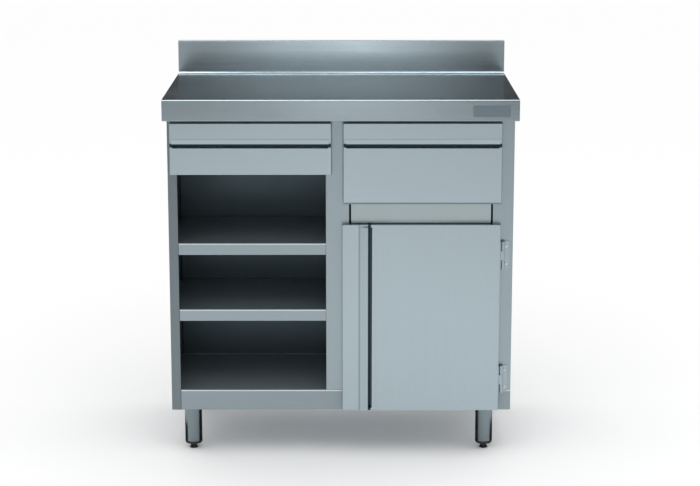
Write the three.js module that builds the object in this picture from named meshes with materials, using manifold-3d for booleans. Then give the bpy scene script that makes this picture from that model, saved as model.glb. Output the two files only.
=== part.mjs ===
// Stainless bar counter with two drawers, an open shelved bay, a hinged door and levelling feet.
// Millimetres. X runs to the right, Y away from the viewer and Z up. The origin is on the floor,
// under the middle of the worktop.
import * as THREE from "three";
import { mergeVertices } from "three/addons/utils/BufferGeometryUtils.js";
import Module from "manifold-3d";

const wasm = await Module();
wasm.setup();

// Overall sizes
const worktopWidth = 1000;
const worktopDepth = 600;
const worktopHeight = 1050;
const upstandHeight = 100;
const upstandDepth = 15;
const fasciaHeight = 60;
const bodyWidth = 980;
const legHeight = 140;
const frontSetback = 36; // worktop edge to the face of the posts
const rearSetback = 10; // worktop edge to the back of the carcass
const serviceSpace = 165; // depth of the open space behind the back panel

// Sheet
const topSheet = 1.5;
const bodySheet = 1.2;
const bendRadius = 2;
const runnerBend = 1.6;
const bendSteps = 3; // flats that stand for each bend
const bendShare = 0.45; // most of a flat that one bend may take up
const weldDistance = 1e-4; // corners nearer than this become one
const roundSides = 24; // flats round a leg
const hingeSides = 20; // flats round a knuckle or a pin
const noseSteps = 5; // flats over the rounded edge of a bush
const coveRadius = 8;
const fasciaBend = 4;
const worktopReturn = 8;
const bodyReturn = 20;
const trayReturn = 15;

// Posts, rails and shelves
const leftPostWidth = 27;
const rightPostWidth = 59;
const mullionWidth = 67;
const mullionOffset = -9.5; // middle of the mullion from the middle of the counter
const postDepth = 20;
const bottomRailHeight = 60;
const topRailHeight = 63;
const shelfFlange = 34;
const shelfHem = 12;
const shelfSetback = 2; // shelf edges behind the face of the posts
const shelfRearFlange = 20;
const upperShelfRise = 433; // shelves above the cabinet floor
const lowerShelfRise = 239;
const cleatWidth = 20;
const stiffenerDepth = 40;
const stiffenerWidth = 60;
const stiffenerFlange = 15;
const frontStiffenerInset = 114; // middle of each stiffener from the front or back of the carcass
const rearStiffenerInset = 75;

// Fronts with their folded grips
const frontThickness = 20;
const frontHem = 7; // plain end beside each grip
const drawerBand = 45;
const drawerLipRun = 15;
const doorBand = 48;
const doorLipRun = 26;
const lipReach = 12;
const lipThickness = 3;
const fingerGap = 8;
const channelDepth = 14;
const frontsDrop = 68; // upper edge of the drawer fronts below the worktop
const leftDrawerFrontHeight = 147;
const rightDrawerFrontHeight = 227;
const doorHeight = 546;
const doorRise = 5; // lower edge of the door above the lower edge of the carcass
const leftFrontOnPost = 18; // how far each front covers the post or mullion beside it
const leftFrontOnMullion = 15;
const rightFrontOnMullion = 16;
const doorOnMullion = 20;
const frontsOnRightPost = 22;

// Drawers and runners
const runnerWidth = 12.7;
const runnerHeight = 36;
const runnerLength = 350;
const runnerSheet = 1.2;
const runnerSetback = 4; // front end of the runners behind the drawer's front wall
const drawerDepth = 372;
const rimDrop = 27; // upper edge of the drawer boxes below the upper edge of their fronts
const rimHem = 6;
const leftDrawerHeight = 105;
const rightDrawerHeight = 255;
const drawerWallGap = 5; // each end of a drawer's front wall to the post beside it
const runnerDrop = 45; // middle of the runners below the drawers' upper edge
const runnerFlange = 10;
const middleWebOffset = 3; // web of the middle member from the wall
const packerFlange = 12;
const packerMargin = 4; // packer beyond the runner, above and below

// Legs and feet
const legDiameter = 50;
const legWall = 1.5;
const legInsetLeft = 55;
const legInsetRight = 70;
const legInsetFront = 83;
const legInsetRear = 65;
const legPlateSize = 80;
const legPlateThickness = 3;
const tubeEnd = 24; // tube's lower end above the floor
const bushLower = 15;
const bushInsert = 27;
const bushNose = 6; // radius of the bush's rounded lower edge
const footDiameter = 24;
const footThickness = 4;
const footChamfer = 1;
const footCollar = 3; // collar that stops the foot under its bush
const spindleDiameter = 12;
const spindleLength = 46;

// Hinges and catch
const hingeHeight = 80;
const hingeEndDistance = 90; // hinge middle from the door's end
const knuckleRadius = 5.5;
const pinRadius = 2.5;
const hingeLeaf = 2;
const hingeLeafWidth = 22;
const hingeLeafReach = 18; // leaf on the post, from the axis to the right
const hingeAxisOffset = 8; // axis from the door's edge
const pinHead = 1; // pin beyond the knuckles at each end
const doorLeafSheet = 1.8;
const catchLength = 45;
const catchWidth = 16;
const catchDepth = 18;
const catchDrop = 30; // catch below the door's top
const strikeThickness = 1.8;
const strikeMargin = 5; // strike plate short of the catch at each end

// Clearances
const seat = 0.3; // between pieces that rest on each other
const slide = 0.4; // between runner members
const knuckleGap = 0.4;
const frontGap = 0.6; // between a closed front and the posts

// Places worked out from the sizes
const frontEdge = -worktopDepth / 2;
const rearEdge = worktopDepth / 2;
const postFace = frontEdge + frontSetback;
const carcassRear = rearEdge - rearSetback;
const bodyLeft = -bodyWidth / 2;
const bodyRight = bodyWidth / 2;
const leftWall = bodyLeft + bodySheet;
const bayLeft = bodyLeft + leftPostWidth;
const mullionLeft = mullionOffset - mullionWidth / 2;
const mullionRight = mullionOffset + mullionWidth / 2;
const rightBayEnd = bodyRight - rightPostWidth;
const backPanelFace = carcassRear - serviceSpace;
const worktopUnderside = worktopHeight - topSheet;
const carcassTop = worktopUnderside - seat;
const stiffenerUnderside = carcassTop - stiffenerDepth;
const topRailUnderside = carcassTop - topRailHeight;
const floorHeight = legHeight + bottomRailHeight;
const frontBack = postFace - frontGap;
const frontsTop = worktopHeight - frontsDrop;
const drawerRim = frontsTop - rimDrop;
const frontFace = frontBack - frontThickness;

// Finishes
const brushedSteel = new THREE.MeshStandardMaterial({ color: 0xa3b2b9, roughness: 0.36, metalness: 1 });
const polishedSteel = new THREE.MeshStandardMaterial({ color: 0xb0bcc1, roughness: 0.22, metalness: 1 });
const plainSteel = new THREE.MeshStandardMaterial({ color: 0x8f9a9f, roughness: 0.45, metalness: 1 });
const zincSteel = new THREE.MeshStandardMaterial({ color: 0xb8bcbd, roughness: 0.4, metalness: 1 });
const blackPlastic = new THREE.MeshStandardMaterial({ color: 0x17181a, roughness: 0.55, metalness: 0 });

const X = new THREE.Vector3(1, 0, 0);
const Y = new THREE.Vector3(0, 1, 0);
const Z = new THREE.Vector3(0, 0, 1);

// Solids

/** A closed geometry as a solid that can be joined and cut, with its faces pointing out. */
function solidFrom(geometry) {
  const bare = geometry.clone();
  bare.deleteAttribute("normal");
  bare.deleteAttribute("uv");
  const merged = mergeVertices(bare, weldDistance);
  const index = merged.index.array;
  const corners = [];
  for (let i = 0; i < index.length; i += 3) {
    const [a, b, c] = [index[i], index[i + 1], index[i + 2]];
    if (a !== b && b !== c && c !== a) corners.push(a, b, c);
  }
  const vertProperties = merged.attributes.position.array;
  const made = (triVerts) => new wasm.Manifold(new wasm.Mesh({ numProp: 3, vertProperties, triVerts }));
  const solid = made(new Uint32Array(corners));
  return solid.volume() > 0 ? solid : made(new Uint32Array(corners.reverse()));
}

/** The geometry of a solid, with flat faces. */
function geometryFrom(solid) {
  const mesh = solid.getMesh();
  const geometry = new THREE.BufferGeometry();
  geometry.setAttribute("position", new THREE.BufferAttribute(mesh.vertProperties, 3));
  geometry.setIndex(new THREE.BufferAttribute(mesh.triVerts, 1));
  const flat = geometry.toNonIndexed();
  flat.computeVertexNormals();
  return flat;
}

/** All the given solids joined into one. */
function joined(...solids) {
  return solids.reduce((whole, solid) => whole.add(solid));
}

/** A rectangular solid between two values along each axis. */
function block([x0, x1], [y0, y1], [z0, z1]) {
  const geometry = new THREE.BoxGeometry();
  const corners = geometry.getAttribute("position");
  for (let i = 0; i < corners.count; i += 1) {
    corners.setXYZ(
      i,
      corners.getX(i) < 0 ? x0 : x1,
      corners.getY(i) < 0 ? y0 : y1,
      corners.getZ(i) < 0 ? z0 : z1,
    );
  }
  return solidFrom(geometry);
}

/** A named mesh with a finish of its own. */
function piece(name, solid, finish) {
  const mesh = new THREE.Mesh(geometryFrom(solid), finish.clone());
  mesh.name = name;
  return mesh;
}

/** A group of pieces, moved as one. */
function assembly(pieces, x = 0, y = 0, z = 0) {
  const group = new THREE.Group();
  group.add(...pieces);
  group.position.set(x, y, z);
  return group;
}

// Folded sheet

/** A line through the corners, with each bend rounded by an arc of its own radius or the usual one. */
function folded(corners, usualRadius = bendRadius) {
  const points = corners.map(([u, v]) => new THREE.Vector2(u, v));
  const line = [points[0]];
  for (let i = 1; i < points.length - 1; i += 1) {
    const corner = points[i];
    const before = points[i - 1].clone().sub(corner);
    const after = points[i + 1].clone().sub(corner);
    const opening = Math.tan(before.angleTo(after) / 2);
    const longestRun = Math.min(before.length(), after.length()) * bendShare;
    const run = Math.min((corners[i][2] ?? usualRadius) / opening, longestRun);
    const start = corner.clone().addScaledVector(before.normalize(), run);
    const turn = Math.sign(before.cross(after));
    const inward = new THREE.Vector2(-before.y, before.x).multiplyScalar(turn * run * opening);
    const centre = start.clone().add(inward);
    const sweep = -turn * (Math.PI - 2 * Math.atan(opening));
    for (let step = 0; step <= bendSteps; step += 1) {
      line.push(start.clone().rotateAround(centre, (sweep * step) / bendSteps));
    }
  }
  line.push(points.at(-1));
  return line;
}

/** The section of a sheet that follows a line, with its thickness to the left (1) or the right (-1). */
function sheetSection(line, thickness, side) {
  const inner = line.map((point, i) => {
    const back = point.clone().sub(line[Math.max(i - 1, 0)]).normalize();
    const ahead = line[Math.min(i + 1, line.length - 1)].clone().sub(point).normalize();
    const first = i === 0 ? ahead : back;
    const last = i === line.length - 1 ? back : ahead;
    const along = first.clone().add(last).normalize();
    const reach = (side * thickness) / along.dot(first);
    return new THREE.Vector2(point.x - along.y * reach, point.y + along.x * reach);
  });
  return new THREE.Shape([...line, ...inner.reverse()]);
}

/** A section pushed along one direction from a starting place. */
function pushed(section, length, across, up, along, start) {
  const geometry = new THREE.ExtrudeGeometry(section, { depth: length, bevelEnabled: false });
  geometry.applyMatrix4(new THREE.Matrix4().makeBasis(across, up, along).setPosition(start));
  return solidFrom(geometry);
}

/** A section in Y and Z, pushed along X. */
function alongX(section, x0, x1) {
  return pushed(section, x1 - x0, Y, Z, X, new THREE.Vector3(x0, 0, 0));
}

/** A section in X and Z, pushed along Y. */
function alongY(section, y0, y1) {
  return pushed(section, y1 - y0, X, Z, Y.clone().negate(), new THREE.Vector3(0, y1, 0));
}

/** A section in X and Y, pushed along Z. */
function alongZ(section, z0, z1) {
  return pushed(section, z1 - z0, X, Y, Z, new THREE.Vector3(0, 0, z0));
}

/** A profile of radius and height turned about the Z axis. */
function turned(profile, sides = roundSides) {
  const points = profile.map(([radius, height]) => new THREE.Vector2(radius, height));
  const geometry = new THREE.LatheGeometry(points, sides);
  geometry.rotateX(Math.PI / 2);
  return solidFrom(geometry);
}

// Worktop

/** The folded worktop: fascia, flat top, cove, upstand and rear skirt, closed at both ends. */
function worktop() {
  const upstandFace = rearEdge - upstandDepth;
  const upstandTop = worktopHeight + upstandHeight;
  const skirtEdge = worktopHeight - fasciaHeight;
  const end = worktopWidth / 2;
  const line = folded([
    [frontEdge + worktopReturn, skirtEdge],
    [frontEdge, skirtEdge],
    [frontEdge, worktopHeight, fasciaBend],
    [upstandFace, worktopHeight, coveRadius],
    [upstandFace, upstandTop],
    [rearEdge, upstandTop],
    [rearEdge, skirtEdge],
    [rearEdge - worktopReturn, skirtEdge],
  ]);
  const returnHeight = [skirtEdge, skirtEdge + topSheet];
  const returnLength = [frontEdge + worktopReturn - topSheet, rearEdge - worktopReturn + topSheet];
  const skirtMiddle = end - topSheet / 2;
  return joined(
    alongX(sheetSection(line, topSheet, -1), -end, end),
    alongX(new THREE.Shape(line), -end, topSheet - end),
    alongX(new THREE.Shape(line), end - topSheet, end),
    block([-skirtMiddle, worktopReturn - end], returnLength, returnHeight),
    block([end - worktopReturn, skirtMiddle], returnLength, returnHeight),
  );
}

/** A hat section under the worktop, centred on y, between two side walls. */
function stiffener(y, x0, x1) {
  const half = stiffenerWidth / 2;
  const lowest = stiffenerUnderside + bodySheet;
  const line = folded([
    [y - half - stiffenerFlange, carcassTop],
    [y - half, carcassTop],
    [y - half, lowest],
    [y + half, lowest],
    [y + half, carcassTop],
    [y + half + stiffenerFlange, carcassTop],
  ]);
  return alongX(sheetSection(line, bodySheet, -1), x0, x1);
}

// Carcass

/** The rail above the drawers, folded back at both edges. */
function frontTopRail() {
  const line = folded([
    [postFace + postDepth, topRailUnderside],
    [postFace, topRailUnderside],
    [postFace, carcassTop],
    [postFace + postDepth, carcassTop],
  ]);
  return alongX(sheetSection(line, bodySheet, -1), bayLeft + seat, rightBayEnd - seat);
}

/** The left side, with its narrow post, down to the lower edge of the carcass. */
function leftSidePanel() {
  const line = folded([
    [bayLeft, postFace + postDepth],
    [bayLeft, postFace],
    [bodyLeft, postFace],
    [bodyLeft, carcassRear],
    [bodyLeft + bodyReturn, carcassRear],
  ]);
  return alongZ(sheetSection(line, bodySheet, -1), legHeight, carcassTop);
}

/** The right side, with an inner skin behind its wide post, standing on the base tray. */
function rightSidePanel() {
  const line = folded([
    [rightBayEnd, backPanelFace - seat],
    [rightBayEnd, postFace],
    [bodyRight, postFace],
    [bodyRight, carcassRear],
    [bodyRight - bodyReturn, carcassRear],
  ]);
  return alongZ(sheetSection(line, bodySheet, 1), floorHeight + seat, carcassTop);
}

/** The U-shaped partition whose front is the mullion, cut to pass under the top rail. */
function centrePartition() {
  const line = folded([
    [mullionLeft, backPanelFace - seat],
    [mullionLeft, postFace],
    [mullionRight, postFace],
    [mullionRight, backPanelFace - seat],
  ]);
  const top = stiffenerUnderside - seat;
  const walls = alongZ(sheetSection(line, bodySheet, 1), floorHeight + seat, top);
  const railSpace = block(
    [mullionLeft - seat, mullionRight + seat],
    [postFace - seat, postFace + postDepth + seat],
    [topRailUnderside - seat, top + seat],
  );
  return walls.subtract(railSpace);
}

/** The inner back wall, flanged to both sides, with the service space behind it. */
function backPanel() {
  const left = leftWall + seat;
  const right = bodyRight - bodySheet - seat;
  const line = folded([
    [left, backPanelFace + trayReturn],
    [left, backPanelFace],
    [right, backPanelFace],
    [right, backPanelFace + trayReturn],
  ]);
  return alongZ(sheetSection(line, bodySheet, 1), floorHeight + seat, carcassTop);
}

/** The space that a folded floor or shelf leaves round the left post. */
function leftPostSpace(z0, z1) {
  return block([bodyLeft, bayLeft + seat], [postFace - seat, postFace + postDepth + seat], [z0, z1]);
}

/** The cabinet floor, folded down into the bottom rail in front and a flange behind. */
function baseTray() {
  const rear = carcassRear - bodySheet - seat;
  const line = folded([
    [postFace + trayReturn, legHeight],
    [postFace, legHeight],
    [postFace, floorHeight],
    [rear, floorHeight],
    [rear, legHeight],
    [rear - trayReturn, legHeight],
  ]);
  const tray = joined(
    alongX(sheetSection(line, bodySheet, -1), leftWall + seat, bodyRight),
    alongX(new THREE.Shape(line), bodyRight - bodySheet, bodyRight),
  );
  return tray.subtract(leftPostSpace(legHeight - seat, floorHeight + seat));
}

/** A shelf of the open bay, folded down and hemmed in front and flanged at the back. */
function shelf(height) {
  const rear = backPanelFace - seat;
  const lowerEdge = height - shelfFlange;
  const line = folded([
    [postFace + shelfSetback + shelfHem, lowerEdge],
    [postFace + shelfSetback, lowerEdge],
    [postFace + shelfSetback, height],
    [rear, height],
    [rear, height - shelfRearFlange],
  ]);
  const sheet = alongX(sheetSection(line, bodySheet, -1), leftWall + seat, mullionLeft - seat);
  return sheet.subtract(leftPostSpace(lowerEdge - seat, height + seat));
}

/** An angle that carries one end of a shelf; side is 1 on the left wall and -1 on the partition. */
function cleat(wall, side, shelfHeight) {
  const top = shelfHeight - bodySheet - seat;
  const face = wall + side * seat;
  const line = folded([
    [face, top - cleatWidth],
    [face, top],
    [face + side * cleatWidth, top],
  ]);
  const front = postFace + postDepth + 2 * seat;
  const back = backPanelFace - bodySheet - 2 * seat;
  return alongY(sheetSection(line, bodySheet, -side), front, back);
}

// Legs

/** One leg: plate under the floor, tube, bush in the tube's end and the foot that screws into it. */
function leg(corner, x, y) {
  const radius = legDiameter / 2;
  const bore = radius - legWall;
  const plateTop = floorHeight - bodySheet - seat;
  const plateLower = plateTop - legPlateThickness;
  const half = legPlateSize / 2;
  const plate = block([-half, half], [-half, half], [plateLower, plateTop]);
  const tube = turned([
    [bore, tubeEnd],
    [radius, tubeEnd],
    [radius, plateLower - seat],
    [bore, plateLower - seat],
    [bore, tubeEnd],
  ]);
  const noseMiddle = [radius - bushNose, bushLower + bushNose];
  const nose = new THREE.EllipseCurve(...noseMiddle, bushNose, bushNose, -Math.PI / 2, 0);
  const spindle = spindleDiameter / 2;
  const thread = spindle + seat;
  const bush = turned([
    [thread, bushLower],
    ...nose.getPoints(noseSteps).map((point) => [point.x, point.y]),
    [radius, tubeEnd - seat],
    [bore - seat, tubeEnd - seat],
    [bore - seat, tubeEnd + bushInsert],
    [thread, tubeEnd + bushInsert],
    [thread, bushLower],
  ]);
  const pad = footDiameter / 2;
  const foot = turned([
    [0, 0],
    [pad - footChamfer, 0],
    [pad, footChamfer],
    [pad, footThickness],
    [spindle + footCollar, footThickness],
    [spindle + footCollar, bushLower - seat],
    [spindle, bushLower - seat],
    [spindle, bushLower + spindleLength],
    [0, bushLower + spindleLength],
  ]);
  const pieces = [
    piece(`leg_plate_${corner}`, plate, plainSteel),
    piece(`leg_tube_${corner}`, tube, brushedSteel),
    piece(`leg_bush_${corner}`, bush, blackPlastic),
    piece(`levelling_foot_${corner}`, foot, blackPlastic),
  ];
  return assembly(pieces, x, y);
}

// Fronts

/**
 * A folded front with its grip, in a frame of its own: x runs across the grip from the edge beside it,
 * y points out of the face and z runs along the grip. The lip flares out of the flat band, is hemmed
 * at its tip and turns back into a channel for the fingers. The ends of the front are plain.
 */
function gripFront(across, length, band, lipRun) {
  const slope = Math.hypot(lipRun, lipReach);
  const hem = [(lipThickness * lipReach) / slope, (-lipThickness * lipRun) / slope];
  const channelStart = band + hem[0];
  const channelEnd = channelStart + lipRun + fingerGap;
  const gripLine = folded([
    [0, -frontThickness],
    [0, 0],
    [band, 0],
    [band + lipRun, lipReach],
    [band + lipRun + hem[0], lipReach + hem[1]],
    [channelStart, hem[1]],
    [channelStart, -channelDepth],
    [channelEnd, -channelDepth],
    [channelEnd, 0],
    [across, 0],
    [across, -frontThickness],
  ]);
  const endLine = folded([
    [0, -frontThickness],
    [0, 0],
    [across, 0],
    [across, -frontThickness],
  ]);
  const gripStart = frontHem - bodySheet;
  const grip = alongZ(sheetSection(gripLine, bodySheet, -1), gripStart, length - gripStart);
  const ribDepth = [-channelDepth - bodySheet, -bodySheet / 2];
  const ends = [0, length - frontHem].flatMap((start) => {
    const outer = start === 0 ? 0 : length - bodySheet;
    const inner = start === 0 ? gripStart : start;
    return [
      alongZ(sheetSection(endLine, bodySheet, -1), start, start + frontHem),
      alongZ(new THREE.Shape(endLine), outer, outer + bodySheet),
      block([bodySheet / 2, across - bodySheet / 2], ribDepth, [inner, inner + bodySheet]),
    ];
  });
  return joined(grip, ...ends);
}

/** A front's mesh, turned from its own frame into the counter's. */
function frontPiece(name, solid, across, along, corner) {
  const mesh = piece(name, solid, brushedSteel);
  mesh.quaternion.setFromRotationMatrix(new THREE.Matrix4().makeBasis(across, Y.clone().negate(), along));
  mesh.position.copy(corner);
  return mesh;
}

// Drawers and runners

/** A channel section of a runner, opening away from its web; side is 1 where the wall is on the left. */
function runnerChannel(wall, side, web, lip, halfHeight, middle) {
  const line = folded(
    [
      [wall + side * lip, middle - halfHeight],
      [wall + side * web, middle - halfHeight],
      [wall + side * web, middle + halfHeight],
      [wall + side * lip, middle + halfHeight],
    ],
    runnerBend,
  );
  const opening = Math.sign(lip - web);
  const front = postFace + runnerSetback;
  return alongY(sheetSection(line, runnerSheet, -side * opening), front, front + runnerLength);
}

/** The three nested members of one runner, from the wall to the drawer's side. */
function runner(name, wallFace, side) {
  const wall = wallFace + side * seat;
  const middle = drawerRim - runnerDrop;
  const outerHalf = runnerHeight / 2;
  const middleHalf = outerHalf - runnerSheet - slide;
  const innerHalf = middleHalf - runnerSheet - slide;
  const innerLip = middleWebOffset + runnerSheet + slide;
  const channel = (web, lip, half) => runnerChannel(wall, side, web, lip, half, middle);
  return [
    piece(`${name}_outer`, channel(0, runnerFlange, outerHalf), zincSteel),
    piece(`${name}_middle`, channel(middleWebOffset, runnerFlange, middleHalf), zincSteel),
    piece(`${name}_inner`, channel(runnerWidth, innerLip, innerHalf), zincSteel),
  ];
}

/** A drawer's open box, with a front wall that reaches almost to the posts and hems round its rim. */
function drawerBox(wallLeft, wallRight, boxHeight) {
  const floor = drawerRim - boxHeight;
  const sideGap = runnerWidth + 2 * seat;
  const left = wallLeft + sideGap;
  const right = wallRight - sideGap;
  const front = frontBack + seat;
  const back = front + drawerDepth;
  const inside = (wall, z0, z1) =>
    block([left + wall, right - wall], [front + bodySheet, back - wall], [z0, z1]);
  const hemEdge = drawerRim - rimHem;
  const height = [floor, drawerRim];
  const frontWall = [wallLeft + drawerWallGap, wallRight - drawerWallGap];
  return joined(
    block([left, right], [front, back], height),
    block(frontWall, [front, front + bodySheet], height),
  )
    .subtract(inside(bodySheet, floor + bodySheet, hemEdge))
    .subtract(inside(2 * bodySheet, hemEdge - bodySheet, drawerRim + bodySheet));
}

/** A drawer with its front, its box and both runners. */
function drawer(name, [wallLeft, wallRight], height, [frontLeft, frontRight], frontHeight) {
  const front = gripFront(frontHeight, frontRight - frontLeft, drawerBand, drawerLipRun);
  const corner = new THREE.Vector3(frontRight, frontFace, frontsTop);
  const down = Z.clone().negate();
  return assembly([
    frontPiece(`${name}_drawer_front`, front, down, X.clone().negate(), corner),
    piece(`${name}_drawer_box`, drawerBox(wallLeft, wallRight, height), plainSteel),
    ...runner(`${name}_drawer_left_runner`, wallLeft, 1),
    ...runner(`${name}_drawer_right_runner`, wallRight, -1),
  ]);
}

/** The hat section that brings the left drawer's runner out to the line of the left post. */
function runnerPacker() {
  const base = leftWall + seat + bodySheet;
  const middle = drawerRim - runnerDrop;
  const half = runnerHeight / 2 + packerMargin;
  const line = folded([
    [base, middle - half - packerFlange],
    [base, middle - half],
    [bayLeft, middle - half],
    [bayLeft, middle + half],
    [base, middle + half],
    [base, middle + half + packerFlange],
  ]);
  const front = postFace + postDepth + seat;
  return alongY(sheetSection(line, bodySheet, 1), front, postFace + runnerSetback + runnerLength);
}

// Door

const doorLeft = mullionRight - doorOnMullion;
const doorRight = rightBayEnd + frontsOnRightPost;
const doorBottom = legHeight + doorRise;
const doorTop = doorBottom + doorHeight;
const hingeAxisX = doorRight + hingeAxisOffset;
const hingeAxisY = frontFace + frontThickness / 2;

/** The panel that closes the back of the door, between the folded edges of its skin. */
function doorInnerPanel() {
  const inset = bodySheet + seat;
  return block(
    [doorLeft + inset, doorRight - inset],
    [frontBack - bodySheet, frontBack],
    [doorBottom + inset, doorTop - inset],
  );
}

/** A ring of a hinge knuckle between two heights, round the hinge's axis. */
function knuckle(z0, z1) {
  const bore = pinRadius + seat;
  return turned([[bore, z0], [knuckleRadius, z0], [knuckleRadius, z1], [bore, z1], [bore, z0]], hingeSides);
}

/** A hinge about its own axis: leaf on the post with the outer knuckles, leaf on the door, and pin. */
function hinge(name, z) {
  const half = hingeHeight / 2;
  const middleHalf = hingeHeight / 6; // the middle knuckle is a third of the hinge
  const postLeafBack = postFace - seat - hingeAxisY;
  const postLeafFront = postLeafBack - hingeLeaf;
  const webInner = knuckleRadius - hingeLeaf;
  const outerEnds = [[-half, -middleHalf - knuckleGap], [middleHalf + knuckleGap, half]];
  const postLeaf = joined(
    block([hingeLeafReach - hingeLeafWidth, hingeLeafReach], [postLeafFront, postLeafBack], [-half, half]),
    ...outerEnds.flatMap(([z0, z1]) => [
      knuckle(z0, z1),
      block([webInner, knuckleRadius], [0, postLeafFront + hingeLeaf / 2], [z0, z1]),
    ]),
  );
  const doorLeafLeft = doorRight + seat - hingeAxisX;
  const doorLeafRight = doorLeafLeft + doorLeafSheet;
  const doorLeafDepth = frontThickness / 2 - bendRadius;
  const doorLeaf = joined(
    block([doorLeafLeft, doorLeafRight], [-doorLeafDepth, doorLeafDepth], [-half, half]),
    knuckle(-middleHalf, middleHalf),
    block([doorLeafLeft, 0], [-knuckleRadius, hingeLeaf - knuckleRadius], [-middleHalf, middleHalf]),
  );
  const pinTop = half + pinHead;
  const pin = turned([
    [0, -pinTop],
    [pinRadius, -pinTop],
    [pinRadius, pinTop],
    [0, pinTop],
  ], hingeSides);
  const pieces = [
    piece(`hinge_${name}_post_leaf`, postLeaf, brushedSteel),
    piece(`hinge_${name}_door_leaf`, doorLeaf, brushedSteel),
    piece(`hinge_${name}_pin`, pin, zincSteel),
  ];
  return assembly(pieces, hingeAxisX, hingeAxisY, z);
}

/** The magnetic catch on the partition and the strike plate on the back of the door. */
function doorCatch() {
  const left = mullionRight + seat;
  const right = left + catchWidth;
  const top = doorTop - catchDrop;
  const strikeFront = frontBack + seat;
  const strikeBack = strikeFront + strikeThickness;
  const catchFront = strikeBack + seat;
  const catchSpace = [catchFront, catchFront + catchDepth];
  const catchHeight = [top - catchLength, top];
  const strikeHeight = [top - catchLength + strikeMargin, top - strikeMargin];
  return [
    piece("door_catch", block([left, right], catchSpace, catchHeight), blackPlastic),
    piece("door_strike", block([left + seat, right], [strikeFront, strikeBack], strikeHeight), zincSteel),
  ];
}

/** The door with its skin, inner panel, hinges and catch. */
function door() {
  const skin = gripFront(doorRight - doorLeft, doorHeight, doorBand, doorLipRun);
  const corner = new THREE.Vector3(doorLeft, frontFace, doorTop);
  return assembly([
    frontPiece("door_skin", skin, X, Z.clone().negate(), corner),
    piece("door_inner_panel", doorInnerPanel(), plainSteel),
    hinge("upper", doorTop - hingeEndDistance),
    hinge("lower", doorBottom + hingeEndDistance),
    ...doorCatch(),
  ]);
}

// The counter

/** The fixed cabinet under the worktop. */
function carcass() {
  const rightWall = bodyRight - bodySheet;
  const frontStiffener = postFace + frontStiffenerInset;
  const rearStiffener = carcassRear - rearStiffenerInset;
  const shelves = { upper: floorHeight + upperShelfRise, lower: floorHeight + lowerShelfRise };
  const shelfPieces = Object.entries(shelves).flatMap(([name, height]) => [
    piece(`shelf_${name}`, shelf(height), polishedSteel),
    piece(`shelf_cleat_${name}_left`, cleat(leftWall, 1, height), plainSteel),
    piece(`shelf_cleat_${name}_right`, cleat(mullionLeft, -1, height), plainSteel),
  ]);
  const frontHat = stiffener(frontStiffener, leftWall + seat, rightBayEnd - seat);
  const rearHat = stiffener(rearStiffener, leftWall + seat, rightWall - seat);
  return assembly([
    piece("worktop_stiffener_front", frontHat, plainSteel),
    piece("worktop_stiffener_rear", rearHat, plainSteel),
    piece("front_top_rail", frontTopRail(), brushedSteel),
    piece("left_side_panel", leftSidePanel(), brushedSteel),
    piece("right_side_panel", rightSidePanel(), brushedSteel),
    piece("centre_partition", centrePartition(), brushedSteel),
    piece("back_panel", backPanel(), plainSteel),
    piece("base_tray", baseTray(), polishedSteel),
    piece("drawer_runner_packer", runnerPacker(), plainSteel),
    ...shelfPieces,
  ]);
}

/** The four legs, each named for its corner. */
function legs() {
  const left = bodyLeft + legInsetLeft;
  const right = bodyRight - legInsetRight;
  const front = postFace + legInsetFront;
  const rear = carcassRear - legInsetRear;
  return assembly([
    leg("front_left", left, front),
    leg("front_right", right, front),
    leg("rear_left", left, rear),
    leg("rear_right", right, rear),
  ]);
}

const leftFront = [bayLeft - leftFrontOnPost, mullionLeft + leftFrontOnMullion];
const rightFront = [mullionRight - rightFrontOnMullion, rightBayEnd + frontsOnRightPost];

const counter = new THREE.Group();
counter.name = "service_counter";
counter.add(
  piece("worktop", worktop(), polishedSteel),
  carcass(),
  legs(),
  drawer("left", [bayLeft, mullionLeft], leftDrawerHeight, leftFront, leftDrawerFrontHeight),
  drawer("right", [mullionRight, rightBayEnd], rightDrawerHeight, rightFront, rightDrawerFrontHeight),
  door(),
);

export default counter;
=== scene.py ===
"""Stainless bar counter: the finish of its sheets, its small fittings, the studio and the camera.

Metres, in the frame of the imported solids: X runs right, Y away from the viewer and Z up from the floor.
"""

import logging
import math
from dataclasses import dataclass, field
from enum import Enum
from typing import ClassVar, Sequence

import bmesh
import bpy
from mathutils import Matrix, Vector


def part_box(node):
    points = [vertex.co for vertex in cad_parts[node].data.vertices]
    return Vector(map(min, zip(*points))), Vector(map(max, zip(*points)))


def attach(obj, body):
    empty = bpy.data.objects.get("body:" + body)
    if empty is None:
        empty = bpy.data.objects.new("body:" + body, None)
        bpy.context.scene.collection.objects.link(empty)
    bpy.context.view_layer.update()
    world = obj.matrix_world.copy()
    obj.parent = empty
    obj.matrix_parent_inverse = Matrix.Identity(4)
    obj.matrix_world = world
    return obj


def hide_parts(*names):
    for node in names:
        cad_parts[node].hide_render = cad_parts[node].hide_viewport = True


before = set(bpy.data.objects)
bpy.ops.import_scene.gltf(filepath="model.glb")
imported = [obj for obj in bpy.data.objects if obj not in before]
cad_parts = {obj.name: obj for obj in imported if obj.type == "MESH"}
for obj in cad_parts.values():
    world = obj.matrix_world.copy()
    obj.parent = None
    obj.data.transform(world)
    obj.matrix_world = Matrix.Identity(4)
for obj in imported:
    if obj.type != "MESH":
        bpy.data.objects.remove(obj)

Colour = tuple[float, float, float]
Pair = tuple[float, float]

log = logging.getLogger("counter")

MM = 0.001
TOUCH = 0.01 * MM
SAME_POINT = 0.001 * MM
SMOOTH_ANGLE = math.radians(35.0)
UPRIGHT = (math.pi / 2.0, 0.0, 0.0)


# Shader maths

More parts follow.
